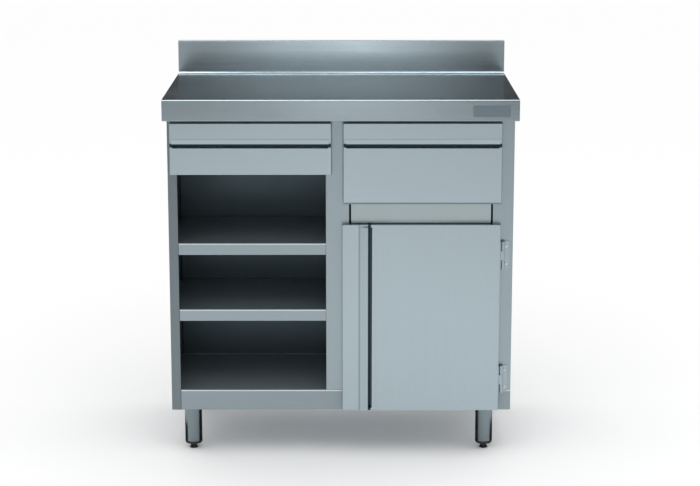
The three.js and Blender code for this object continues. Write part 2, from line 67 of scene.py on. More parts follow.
class Value:
    """A number that varies over a surface; its operators add Math nodes."""

    def __init__(self, tree: bpy.types.NodeTree, socket: bpy.types.NodeSocket) -> None:
        """Keep the tree and the socket that gives the number."""
        self.tree = tree
        self.socket = socket

    def math(self, operation: str, first: "Value | float", second: "Value | float") -> "Value":
        """Add one Math node.

        Args:
            operation: the node's operation.
            first: its upper term.
            second: its lower term.

        Returns:
            The node's result.
        """
        node = self.tree.nodes.new("ShaderNodeMath")
        node.operation = operation
        feed(self.tree, node.inputs[0], first)
        feed(self.tree, node.inputs[1], second)
        return Value(self.tree, node.outputs[0])

    def __add__(self, other: "Value | float") -> "Value":
        """The sum."""
        return self.math("ADD", self, other)

    def __radd__(self, other: float) -> "Value":
        """The sum with a plain number in front."""
        return self.math("ADD", other, self)

    def __sub__(self, other: "Value | float") -> "Value":
        """The difference."""
        return self.math("SUBTRACT", self, other)

    def __rsub__(self, other: float) -> "Value":
        """The difference from a plain number."""
        return self.math("SUBTRACT", other, self)

    def __mul__(self, other: "Value | float") -> "Value":
        """The product."""
        return self.math("MULTIPLY", self, other)

    def __rmul__(self, other: float) -> "Value":
        """The product with a plain number in front."""
        return self.math("MULTIPLY", other, self)

    def __pow__(self, other: "Value | float") -> "Value":
        """The power."""
        return self.math("POWER", self, other)

    def at_least(self, other: "Value | float") -> "Value":
        """The greater of the two."""
        return self.math("MAXIMUM", self, other)

    def at_most(self, other: "Value | float") -> "Value":
        """The lesser of the two."""
        return self.math("MINIMUM", self, other)


def feed(tree: bpy.types.NodeTree, socket: bpy.types.NodeSocket, given: object) -> None:
    """Link a value into a socket, or set the socket itself.

    Args:
        tree: the tree that holds the socket.
        socket: the input to fill.
        given: a Value, a number, a colour or a vector.
    """
    if isinstance(given, Value):
        tree.links.new(given.socket, socket)
    elif socket.type == "RGBA":
        socket.default_value = (*given, 1.0)
    else:
        socket.default_value = given


class Recipe:
    """The nodes of one material or of the world."""

    def __init__(self, tree: bpy.types.NodeTree) -> None:
        """Keep the tree that the nodes go into."""
        self.tree = tree

    def node(
        self,
        kind: str,
        settings: dict[str, object] | None = None,
        sockets: dict[str | int, object] | None = None,
        output: str | int = 0,
    ) -> Value:
        """Add any node.

        Args:
            kind: the node's type.
            settings: its properties, set before the sockets.
            sockets: values or links, by the name or number of the input.
            output: the name or number of the output that is wanted.

        Returns:
            That output.
        """
        node = self.tree.nodes.new(kind)
        for name, setting in (settings or {}).items():
            setattr(node, name, setting)
        for name, given in (sockets or {}).items():
            feed(self.tree, node.inputs[name], given)
        return Value(self.tree, node.outputs[output])

    def node_end(self, kind: str, sockets: dict[str | int, object]) -> None:
        """Add a node that has inputs alone, with its links."""
        node = self.tree.nodes.new(kind)
        for name, given in sockets.items():
            feed(self.tree, node.inputs[name], given)

    def place(self) -> Value:
        """The point's place in the object's own frame."""
        return self.node("ShaderNodeTexCoord", output="Object")

    def noise(self, scale: Sequence[float], detail: float, roughness: float = 0.55) -> Value:
        """Add noise on object coordinates.

        Args:
            scale: features per metre along each axis.
            detail: octaves of finer noise.
            roughness: strength of the finer octaves.

        Returns:
            The noise, around 0.5.
        """
        mapped = self.node("ShaderNodeMapping", sockets={"Vector": self.place(), "Scale": scale})
        inputs = {"Vector": mapped, "Scale": 1.0, "Detail": detail, "Roughness": roughness}
        return self.node("ShaderNodeTexNoise", sockets=inputs)

    def mixed(self, factor: Value, low: "Value | Colour", high: Colour) -> Value:
        """Blend two colours by a value; the node's colour sockets share names, so they go by number."""
        sockets = {0: factor, 6: low, 7: high}
        return self.node("ShaderNodeMix", {"data_type": "RGBA"}, sockets, output=2)

    def bump(self, height: Value, strength: float, distance: float) -> Value:
        """Turn a height into a normal."""
        inputs = {"Height": height, "Strength": strength, "Distance": distance}
        return self.node("ShaderNodeBump", sockets=inputs)


def shaded(colour: Colour, factor: float) -> Colour:
    """A colour made lighter or darker."""
    return tuple(min(channel * factor, 1.0) for channel in colour)


# Finishes

Surface = tuple[Value, Value, Value]
NOISE_MIDDLE = 0.5


class Grain(Enum):
    """Axis along which a sheet was brushed."""

    ALONG_X = 0
    ALONG_Z = 2

    def scale(self, along: float, across: float) -> tuple[float, ...]:
        """Features per metre on each axis, from those along and across the brushing."""
        return tuple(along if axis == self.value else across for axis in range(3))


@dataclass(frozen=True)
class Finish:
    """What every finish shares: its name, its colour, its roughness and how its material is made."""

    name: str
    colour: Colour
    roughness: float
    metal: float = field(default=1.0, kw_only=True)

    def surface(self, recipe: Recipe) -> Surface:
        """Work out what varies over the surface, each finish in its own way.

        Args:
            recipe: the material's recipe.

        Returns:
            The base colour, the roughness and the normal.
        """
        raise NotImplementedError

    def material(self) -> bpy.types.Material:
        """Build the material.

        Returns:
            The finished material.
        """
        material = bpy.data.materials.new(self.name)
        material.use_nodes = True
        shader = material.node_tree.nodes["Principled BSDF"]
        shader.inputs["Metallic"].default_value = self.metal
        recipe = Recipe(material.node_tree)
        for socket, given in zip(("Base Color", "Roughness", "Normal"), self.surface(recipe)):
            feed(recipe.tree, shader.inputs[socket], given)
        return material


@dataclass(frozen=True)
class Strip:
    """A strip of a sheet with painted light in its colour, such as painted shade along the line of a bend
    and behind a grip, and a painted highlight along an edge.
    """

    axis: str
    start: float
    end: float
    tone: Colour
    edge: float = 0.8 * MM

    def mask(self, recipe: Recipe) -> Value:
        """Find the strip.

        Args:
            recipe: the material's recipe.

        Returns:
            1 inside the strip and 0 outside.
        """
        along = recipe.node("ShaderNodeSeparateXYZ", sockets={0: recipe.place()}, output=self.axis)
        entering = ((along - self.start) * (1.0 / self.edge)).at_least(0.0).at_most(1.0)
        leaving = ((self.end - along) * (1.0 / self.edge)).at_least(0.0).at_most(1.0)
        return entering * leaving


@dataclass(frozen=True)
class BrushedSteel(Finish):
    """Stainless sheet with a brushed grain, faint bands, hand smudges and strips of painted shade and
    painted highlight.
    """

    grain: Grain
    contrast: float = 0.06
    scratch: float = 0.05
    strips: tuple[Strip, ...] = ()
    scratch_scale: tuple[float, float] = (7.0, 1100.0)
    band_scale: tuple[float, float] = (2.0, 140.0)
    smudge_scale: tuple[float, ...] = (3.2, 3.2, 3.2)
    scratch_share: float = 0.75
    streak_share: float = 0.7
    gain: float = 2.2
    streak_rough: float = 0.22
    smudge_rough: float = 0.14
    least_rough: float = 0.08
    scratch_depth: float = 0.2 * MM

    def surface(self, recipe: Recipe) -> Surface:
        """Blend scratches, bands and smudges and lay the strips of painted shade and highlight over them."""
        fine = recipe.noise(self.grain.scale(*self.scratch_scale), detail=4.0, roughness=0.65)
        bands = recipe.noise(self.grain.scale(*self.band_scale), detail=2.0)
        smudge = recipe.noise(self.smudge_scale, detail=4.0)
        streak = fine * self.scratch_share + bands * (1.0 - self.scratch_share)
        mark = streak * self.streak_share + smudge * (1.0 - self.streak_share)
        blend = (mark - NOISE_MIDDLE) * self.gain + NOISE_MIDDLE
        colour = recipe.mixed(
            blend.at_least(0.0).at_most(1.0),
            shaded(self.colour, 1.0 - self.contrast),
            shaded(self.colour, 1.0 + self.contrast),
        )
        # Painted shade and painted highlight over the grain, strip by strip
        for strip in self.strips:
            colour = recipe.mixed(strip.mask(recipe), colour, strip.tone)
        streaky = (streak - NOISE_MIDDLE) * self.streak_rough
        rough = streaky + (smudge - NOISE_MIDDLE) * self.smudge_rough + self.roughness
        return colour, rough.at_least(self.least_rough), recipe.bump(fine, self.scratch, self.scratch_depth)


@dataclass(frozen=True)
class PatchySteel(Finish):
    """Steel in paler and darker patches, with a fine even tooth."""

    dark: float = 0.86
    light: float = 1.12
    patch_rough: float = 0.25
    tooth_scale: tuple[float, ...] = (900.0, 900.0, 900.0)
    tooth_rough: float = 0.1
    tooth_strength: float = 0.06
    tooth_depth: float = 0.1 * MM
    least_rough: float = 0.1

    def patches(self, recipe: Recipe) -> Value:
        """Lay out the patches, each finish in its own way.

        Args:
            recipe: the material's recipe.

        Returns:
            0 in the darkest patch and 1 in the palest.
        """
        raise NotImplementedError

    def surface(self, recipe: Recipe) -> Surface:
        """Tone the patches and add the tooth."""
        patch = self.patches(recipe)
        tooth = recipe.noise(self.tooth_scale, detail=2.0)
        colour = recipe.mixed(patch, shaded(self.colour, self.dark), shaded(self.colour, self.light))
        patchy = (patch - NOISE_MIDDLE) * self.patch_rough
        rough = patchy + (tooth - NOISE_MIDDLE) * self.tooth_rough + self.roughness
        normal = recipe.bump(tooth, self.tooth_strength, self.tooth_depth)
        return colour, rough.at_least(self.least_rough), normal


@dataclass(frozen=True)
class MillSteel(PatchySteel):
    """Unbrushed stainless sheet with the clouds of the rolling mill."""

    cloud_scale: tuple[float, ...] = (6.0, 6.0, 6.0)

    def patches(self, recipe: Recipe) -> Value:
        """Lay out the clouds."""
        return recipe.noise(self.cloud_scale, detail=5.0)


@dataclass(frozen=True)
class ZincPlate(PatchySteel):
    """Zinc-plated steel with the crystal patches of its plating."""

    dark: float = 0.82
    patch_rough: float = 0.16
    tooth_scale: tuple[float, ...] = (1400.0, 1400.0, 1400.0)
    tooth_rough: float = 0.08
    tooth_strength: float = 0.05
    crystal_scale: float = 160.0

    def patches(self, recipe: Recipe) -> Value:
        """Lay out the crystals, each of one even value."""
        cells = {"Vector": recipe.place(), "Scale": self.crystal_scale, "Randomness": 1.0}
        crystals = recipe.node("ShaderNodeTexVoronoi", sockets=cells, output="Color")
        return recipe.node("ShaderNodeSeparateColor", sockets={"Color": crystals}, output="Red")


@dataclass(frozen=True)
class MouldedPlastic(Finish):
    """Moulded plastic with a pebbled skin and paler scuffs near the floor; also the dark sheet of painted
    shade round the drawer fronts.
    """

    metal: float = field(default=0.0, kw_only=True)
    pebble_scale: tuple[float, ...] = (1800.0, 1800.0, 1800.0)
    pebble_share: float = 0.25
    pebble_rough: float = 0.2
    pebble_strength: float = 0.15
    pebble_depth: float = 0.15 * MM
    scuff_scale: tuple[float, ...] = (70.0, 70.0, 220.0)
    scuff_height: float = 20.0 * MM
    scuff_start: float = 0.52
    scuff_gain: float = 6.0
    scuff_share: float = 0.6
    scuff_rough: float = 0.15
    paler: float = 4.0

    def surface(self, recipe: Recipe) -> Surface:
        """Pebble the skin and scuff it towards the floor."""
        pebble = recipe.noise(self.pebble_scale, detail=3.0)
        patches = recipe.noise(self.scuff_scale, detail=4.0, roughness=0.7)
        height = recipe.node("ShaderNodeSeparateXYZ", sockets={0: recipe.place()}, output="Z")
        low = (1.0 - height * (1.0 / self.scuff_height)).at_least(0.0)
        scuff = ((patches - self.scuff_start) * self.scuff_gain).at_least(0.0).at_most(1.0) * low
        share = (scuff * self.scuff_share + pebble * self.pebble_share).at_most(1.0)
        colour = recipe.mixed(share, self.colour, shaded(self.colour, self.paler))
        rough = (pebble - NOISE_MIDDLE) * self.pebble_rough + scuff * self.scuff_rough + self.roughness
        return colour, rough, recipe.bump(pebble, self.pebble_strength, self.pebble_depth)


STEEL: Colour = (0.41, 0.49, 0.53)
WORKTOP_STEEL: Colour = (0.385, 0.458, 0.497)
# Painted highlight on the front edges of shelves and tray
HIGHLIGHT_STEEL: Colour = (0.62, 0.71, 0.76)
# Painted shade in the recesses behind the grips of drawers and door
GRIP_SHADE: Colour = (0.022, 0.042, 0.057)
BEND_BLEND = 1.6 * MM
UPSTAND = 100.0 * MM
FASCIA_BEND = 2.1 * MM
FASCIA_MARGIN = 10.0 * MM
# Start and end of each strip, from the edge of its sheet: the runs hold painted shade behind the grips, the
# bends painted shade along the lips' bends, the edge a painted highlight
DRAWER_RUN = (69.0 * MM, 57.0 * MM)
DRAWER_BEND = (46.8 * MM, 43.2 * MM)
DOOR_RUN = (72.5 * MM, 81.8 * MM)
DOOR_BEND = (45.0 * MM, 51.6 * MM)
# Painted highlight band, just under the flat of a shelf or of the tray
EDGE_HIGHLIGHT = (4.2 * MM, 0.2 * MM)


def drawer_grip_shade() -> tuple[Strip, ...]:
    """Painted shade in the recess behind the drawers' grip and along the bend of its lip, from the fronts'
    level tops.
    """
    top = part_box("left_drawer_front")[1].z
    return (
        Strip("Z", *(top - depth for depth in DRAWER_RUN), GRIP_SHADE),
        Strip("Z", *(top - depth for depth in DRAWER_BEND), shaded(STEEL, 0.84), BEND_BLEND),
    )


def door_grip_shade() -> tuple[Strip, ...]:
    """Painted shade in the recess behind the door's grip and along the bend of its lip, from the door's left
    edge.
    """
    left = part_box("door_skin")[0].x
    return (
        Strip("X", *(left + depth for depth in DOOR_RUN), GRIP_SHADE),
        Strip("X", *(left + depth for depth in DOOR_BEND), shaded(STEEL, 0.66), BEND_BLEND),
    )


def fascia_shade() -> tuple[Strip, ...]:
    """Painted shade on the worktop's fascia and skirts, a little darker than its flat."""
    low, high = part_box("worktop")
    flat = high.z - UPSTAND
    tone = shaded(WORKTOP_STEEL, 0.86)
    return (Strip("Z", low.z - FASCIA_MARGIN, flat - FASCIA_BEND, tone, BEND_BLEND),)


def edge_highlights(*nodes: str) -> tuple[Strip, ...]:
    """A painted highlight along the front edges of shelves or of the tray, just under their flats."""
    flats = [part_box(node)[1].z for node in nodes]
    return tuple(Strip("Z", *(flat - depth for depth in EDGE_HIGHLIGHT), HIGHLIGHT_STEEL) for flat in flats)


class Finishes(Enum):
    """The finishes of the counter; several carry painted shade and painted highlight in their colour."""

    # The fronts carry painted shade behind their grips and along the bends of their lips
    DRAWER_FRONT = BrushedSteel("drawer_front", STEEL, 0.34, Grain.ALONG_X, strips=drawer_grip_shade())
    # The door's steel a touch darker than the drawers': painted shade
    DOOR_FRONT = BrushedSteel("door_front", shaded(STEEL, 0.96), 0.34, Grain.ALONG_Z, strips=door_grip_shade())
    # Rail, posts and left side: the fronts' steel made darker, as painted shade on parts recessed or turned
    # from the light
    RAIL = BrushedSteel("brushed_rail", shaded(STEEL, 0.79), 0.36, Grain.ALONG_X)
    POST = BrushedSteel("brushed_post", shaded(STEEL, 0.79), 0.36, Grain.ALONG_Z)
    SIDE = BrushedSteel("brushed_side", shaded(STEEL, 0.44), 0.36, Grain.ALONG_Z)
    HINGE = BrushedSteel("brushed_hinge", shaded(STEEL, 0.85), 0.3, Grain.ALONG_Z)
    # The worktop carries painted shade on its fascia and skirts
    WORKTOP = BrushedSteel(
        "satin_worktop", WORKTOP_STEEL, 0.18, Grain.ALONG_X,
        contrast=0.035, scratch=0.01, strips=fascia_shade(),
    )
    # Shelves and tray: the steel made darker as painted shade inside the bays, with a painted highlight on
    # their front edges
    SHELF = BrushedSteel(
        "satin_shelf", shaded(STEEL, 0.76), 0.4, Grain.ALONG_X,
        scratch=0.04, metal=0.82, strips=edge_highlights("shelf_upper", "shelf_lower"),
    )
    TRAY = BrushedSteel(
        "satin_tray", shaded(STEEL, 0.66), 0.42, Grain.ALONG_X,
        scratch=0.04, metal=0.64, strips=edge_highlights("base_tray"),
    )
    # Legs: the steel made darker, as painted shade
    LEG = BrushedSteel("brushed_leg", shaded(STEEL, 0.54), 0.24, Grain.ALONG_Z, scratch=0.04)
    DRAWER = MillSteel("drawer_steel", (0.405, 0.475, 0.487), 0.4)
    # The bay's back wall: steel made nearly black, as painted shade deep inside the bay
    BAY_BACK = MillSteel("bay_back", (0.068, 0.09, 0.1), 0.36)
    INSIDE = MillSteel("mill_steel", (0.36, 0.42, 0.44), 0.42)
    ZINC = ZincPlate("zinc_plate", (0.5, 0.52, 0.53), 0.36)
    SCREW = ZincPlate("bright_screw", (0.6, 0.69, 0.74), 0.26)
    PLASTIC = MouldedPlastic("black_plastic", (0.012, 0.012, 0.013), 0.48)
    # Dark sheet round the drawer fronts: painted shade in the gaps
    SEAL = MouldedPlastic("rubber_seal", (0.14, 0.19, 0.22), 0.6)
    PLATE = BrushedSteel("bare_plate", (0.2, 0.25, 0.28), 0.42, Grain.ALONG_X, contrast=0.08, scratch=0.04)


class Paintshop:
    """Makes each finish once and puts it on pieces."""

    def __init__(self) -> None:
        """Build all the materials."""
        self.materials = {kind: kind.value.material() for kind in Finishes}

    def dress(self, piece: bpy.types.Object, kind: Finishes) -> None:
        """Put a finish into a piece's only slot.

        Args:
            piece: a solid of the frame or a new piece.
            kind: the finish.
        """
        if not piece.material_slots:
            piece.data.materials.append(None)
        for slot in piece.material_slots:
            slot.material = self.materials[kind]


# Modelling bench

def clear_bench() -> None:
    """Leave edit mode and deselect everything."""
    if bpy.context.object is not None and bpy.context.object.mode != "OBJECT":
        bpy.ops.object.mode_set(mode="OBJECT")
    bpy.ops.object.select_all(action="DESELECT")


def edit_all() -> None:
    """Go into edit mode with the whole mesh selected."""
    bpy.ops.object.mode_set(mode="EDIT")
    bpy.ops.mesh.select_all(action="SELECT")


def push_back(depth: float) -> None:
    """Extrude the selected faces away from the viewer, or forward if the depth is negative."""
    bpy.ops.mesh.extrude_region_move(TRANSFORM_OT_translate={"value": (0.0, depth, 0.0)})


def pick_depth(depth: float) -> None:
    """Select the faces of the mesh in edit mode whose middle lies at one depth.

    Args:
        depth: their place along Y.
    """
    bpy.ops.mesh.select_mode(type="FACE")
    bpy.ops.mesh.select_all(action="DESELECT")
    mesh = bpy.context.object.data
    shape = bmesh.from_edit_mesh(mesh)
    for face in shape.faces:
        face.select_set(abs(face.calc_center_median().y - depth) < TOUCH)
    bmesh.update_edit_mesh(mesh)


def end_piece(name: str) -> bpy.types.Object:
    """Clean the mesh in edit mode, smooth its round faces and name it.

    Args:
        name: the piece's name.

    Returns:
        The finished object, at the origin with its place in its mesh.
    """
    bpy.ops.mesh.select_all(action="SELECT")
    bpy.ops.mesh.remove_doubles(threshold=SAME_POINT)
    bpy.ops.mesh.normals_make_consistent(inside=False)
    bpy.ops.object.mode_set(mode="OBJECT")
    bpy.ops.object.transform_apply(location=True, rotation=True, scale=True)
    bpy.ops.object.shade_smooth_by_angle(angle=SMOOTH_ANGLE)
    piece = bpy.context.object
    piece.name = name
    piece.data.name = name
    return piece


def turned(name: str, rings: Sequence[Pair], sides: int, solid: bool = True) -> bpy.types.Object:
    """Turn a profile about the Z axis, ring by ring.

    Args:
        name: the piece's name.
        rings: radius and height of each ring, from the lower end.
        sides: flats round the piece.
        solid: close both ends; otherwise the last ring meets the first.

    Returns:
        The piece, about the Z axis.
    """
    clear_bench()
    radius, height = rings[0]
    bpy.ops.mesh.primitive_circle_add(
        vertices=sides,
        radius=radius,
        fill_type="NGON" if solid else "NOTHING",
        location=(0.0, 0.0, height),
    )
    bpy.ops.object.mode_set(mode="EDIT")
    bpy.ops.mesh.select_mode(type="EDGE")
    bpy.ops.mesh.select_all(action="SELECT")
    for next_radius, next_height in rings[1:]:
        bpy.ops.mesh.extrude_edges_move(TRANSFORM_OT_translate={"value": (0.0, 0.0, next_height - height)})
        factor = next_radius / radius
        bpy.ops.transform.resize(value=(factor, factor, 1.0), center_override=(0.0, 0.0, next_height))
        radius, height = next_radius, next_height
    if solid:
        bpy.ops.mesh.edge_face_add()
    return end_piece(name)


def copied(master: bpy.types.Object, name: str, place: Matrix) -> bpy.types.Object:
    """Copy a piece with a mesh of its own.

    Args:
        master: the piece to copy.
        name: the copy's name.
        place: where the copy goes, baked into its mesh.

    Returns:
        The copy, at the origin.
    """
    copy = master.copy()
    copy.data = master.data.copy()
    copy.name = name
    copy.data.name = name
    copy.data.transform(place)
    bpy.context.scene.collection.objects.link(copy)
    return copy


def joined(name: str, parts: Sequence[bpy.types.Object]) -> bpy.types.Object:
    """Join several objects into one piece.

    Args:
        name: the piece's name.
        parts: the objects, which the piece takes in.

    Returns:
        The joined piece.
    """
    clear_bench()
    for part in parts:
        part.select_set(True)
    bpy.context.view_layer.objects.active = parts[0]
    bpy.ops.object.join()
    piece = bpy.context.object
    piece.name = name
    piece.data.name = name
    return piece


def discard(piece: bpy.types.Object) -> None:
    """Delete a helper object and its mesh."""
    mesh = piece.data
    bpy.data.objects.remove(piece)
    bpy.data.meshes.remove(mesh)


def rounded_block(name: str, low: Vector, high: Vector, radius: float, steps: int = 3) -> bpy.types.Object:
    """Make a block with rounded edges.

    Args:
        name: the piece's name.
        low: its lowest corner.
        high: its highest corner.
        radius: radius of its edges.
        steps: flats over each edge.

    Returns:
        The block.
    """
    clear_bench()
    bpy.ops.mesh.primitive_cube_add(size=1.0, location=(low + high) / 2.0, scale=high - low)
    bpy.ops.object.transform_apply(location=True, rotation=True, scale=True)
    edit_all()
    bpy.ops.mesh.bevel(offset=radius, segments=steps, affect="EDGES")
    return end_piece(name)


def plane(middle: Sequence[float], size: Pair, turn: Sequence[float] = UPRIGHT) -> bpy.types.Object:
    """Add a rectangle.

    Args:
        middle: the place of its middle.
        size: its width and height.
        turn: its turn from lying flat.

    Returns:
        The rectangle.
    """
    clear_bench()
    bpy.ops.mesh.primitive_plane_add(size=1.0, location=middle, rotation=turn)
    bpy.context.object.scale = (*size, 1.0)
    bpy.ops.object.transform_apply(location=True, rotation=True, scale=True)
    return bpy.context.object


class Facing(Enum):
    """Direction that a screw's head faces, as the turn from straight up."""

    DOWN = (math.pi, "X")
    FORWARD = (math.pi / 2.0, "X")
    BACK = (-math.pi / 2.0, "X")
    RIGHT = (math.pi / 2.0, "Y")

    def turn(self) -> Matrix:
        """The turn as a matrix."""
        angle, axis = self.value
        return Matrix.Rotation(angle, 4, axis)


@dataclass
class ScrewHead:
    """A domed screw head with a cross recess, modelled once and copied."""

    radius: float = 4.8 * MM
    height: float = 1.6 * MM
    recess_length: float = 5.0 * MM
    recess_width: float = 0.9 * MM
    recess_depth: float = 0.9 * MM
    cutter_top: float = 2.4 * MM
    cutter_edge: float = 0.09 * MM
    sides: int = 32
    first_turn: float = 25.0
    turn_step: float = 40.0
    # Rings of the dome, as shares of the radius and of the height
    dome: ClassVar[tuple[Pair, ...]] = ((0.98, 0.0), (1.0, 0.35), (0.88, 0.72), (0.6, 0.95), (0.25, 1.0))

    def __post_init__(self) -> None:
        """Model the head that the rows are copied from."""
        self.master = self.model()

    def model(self) -> bpy.types.Object:
        """Model the head, facing up, with its seat on the origin.

        Returns:
            The head.
        """
        rings = [(self.radius * out, self.height * up) for out, up in self.dome]
        head = turned("screw_master", rings, self.sides)
        half_length = self.recess_length / 2.0
        half_width = self.recess_width / 2.0
        floor = self.height - self.recess_depth
        for half_x, half_y in ((half_length, half_width), (half_width, half_length)):
            low = Vector((-half_x, -half_y, floor))
            high = Vector((half_x, half_y, self.cutter_top))
            cutter = rounded_block("recess_cutter", low, high, self.cutter_edge, 1)
            self.cut(head, cutter)
        return head

    def cut(self, head: bpy.types.Object, cutter: bpy.types.Object) -> None:
        """Cut one slot of the recess.

        Args:
            head: the screw head.
            cutter: the slot's shape, deleted afterwards.
        """
        clear_bench()
        head.select_set(True)
        bpy.context.view_layer.objects.active = head
        slot = head.modifiers.new("recess", "BOOLEAN")
        slot.operation = "DIFFERENCE"
        slot.object = cutter
        bpy.ops.object.modifier_apply(modifier=slot.name)
        discard(cutter)

    def row(self, name: str, places: Sequence[Vector], facing: Facing) -> bpy.types.Object:
        """Copy the head to several places as one piece.

        Args:
            name: the piece's name.
            places: where each head sits.
            facing: the way that the heads face.

        Returns:
            The joined heads.
        """
        heads = []
        for number, place in enumerate(places):
            twist = Matrix.Rotation(math.radians(self.first_turn + self.turn_step * number), 4, "Z")
            spot = Matrix.Translation(place) @ facing.turn() @ twist
            heads.append(copied(self.master, f"{name}_{number}", spot))
        return joined(name, heads)


# Solids of the frame

class BendSmoother:
    """Shades the folds of the solids smooth with modifiers, so that their meshes stay as they are."""

    sharp_angle: ClassVar[float] = math.radians(40.0)
    flat_weight: ClassVar[int] = 90

    def __init__(self) -> None:
        """Build the node group."""
        self.group = bpy.data.node_groups.new("smooth_bends", "GeometryNodeTree")
        for direction in ("INPUT", "OUTPUT"):
            self.group.interface.new_socket("Geometry", in_out=direction, socket_type="NodeSocketGeometry")
        recipe = Recipe(self.group)
        solid = recipe.node("NodeGroupInput")
        merged = recipe.node("GeometryNodeMergeByDistance", sockets={"Geometry": solid, "Distance": TOUCH})
        soft = recipe.node("GeometryNodeSetShadeSmooth", {"domain": "FACE"}, {"Geometry": merged})
        steep = recipe.node("GeometryNodeInputMeshEdgeAngle", output="Unsigned Angle")
        limit = {0: steep, 1: self.sharp_angle}
        sharp = recipe.node("FunctionNodeCompare", {"operation": "GREATER_THAN"}, limit)
        edges = {"Geometry": soft, "Selection": sharp, "Shade Smooth": False}
        done = recipe.node("GeometryNodeSetShadeSmooth", {"domain": "EDGE"}, edges)
        recipe.node_end("NodeGroupOutput", {"Geometry": done})

    def smooth(self, solid: bpy.types.Object) -> None:
        """Add the modifiers to one solid."""
        solid.modifiers.new("smooth_bends", "NODES").node_group = self.group
        weighted = solid.modifiers.new("flat_faces_first", "WEIGHTED_NORMAL")
        weighted.mode = "FACE_AREA"
        weighted.weight = self.flat_weight
        weighted.keep_sharp = True


@dataclass
class Sheetwork:
    """The solids of the frame, each with its finish."""

    paint: Paintshop
    smoother: BendSmoother
    # The first word that is in a solid's name decides
    finishes: ClassVar[dict[str, Finishes]] = {
        "packer": Finishes.INSIDE,
        "stiffener": Finishes.INSIDE,
        "cleat": Finishes.INSIDE,
        "runner": Finishes.ZINC,
        "_pin": Finishes.ZINC,
        "_strike": Finishes.ZINC,
        "bush": Finishes.PLASTIC,
        "foot": Finishes.PLASTIC,
        "door_catch": Finishes.PLASTIC,
        "drawer_front": Finishes.DRAWER_FRONT,
        "drawer_box": Finishes.DRAWER,
        "hinge": Finishes.HINGE,
        "leg_tube": Finishes.LEG,
        "worktop": Finishes.WORKTOP,
        "front_top_rail": Finishes.RAIL,
        "right_side_panel": Finishes.POST,
        "centre_partition": Finishes.POST,
        "left_side_panel": Finishes.SIDE,
        "door_skin": Finishes.DOOR_FRONT,
        "shelf": Finishes.SHELF,
        "base_tray": Finishes.TRAY,
        "back_panel": Finishes.BAY_BACK,
    }

    def dress(self) -> None:
        """Finish and smooth every solid of the frame."""
        for name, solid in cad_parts.items():
            matching = (kind for word, kind in self.finishes.items() if word in name)
            kind = next(matching, Finishes.INSIDE)
            self.paint.dress(solid, kind)
            self.smoother.smooth(solid)
            log.info("solid %s: %s", name, kind.value.name)


# New pieces

@dataclass
class Fittings:
    """Puts new pieces on their bodies with their finish and slot."""

    paint: Paintshop
    screw: ScrewHead

    def fit(self, piece: bpy.types.Object, body: str, kind: Finishes, *nodes: str) -> None:
        """Finish a piece and let it ride.

        Args:
            piece: the new piece.
            body: the body that carries it.
            kind: its finish.
            nodes: the solids that it stands for.
        """
        self.paint.dress(piece, kind)
        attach(piece, body)
        if nodes:
            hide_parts(*nodes)
        log.info("piece %s on %s: %s", piece.name, body, kind.value.name)

    def screws(self, name: str, places: Sequence[Vector], facing: Facing, body: str = "carcass") -> None:
        """Put a row of screws on a body.

        Args:
            name: the row's name.
            places: where each head sits.
            facing: the way that the heads face.
            body: the body that carries them.
        """
        self.fit(self.screw.row(name, places, facing), body, Finishes.SCREW)


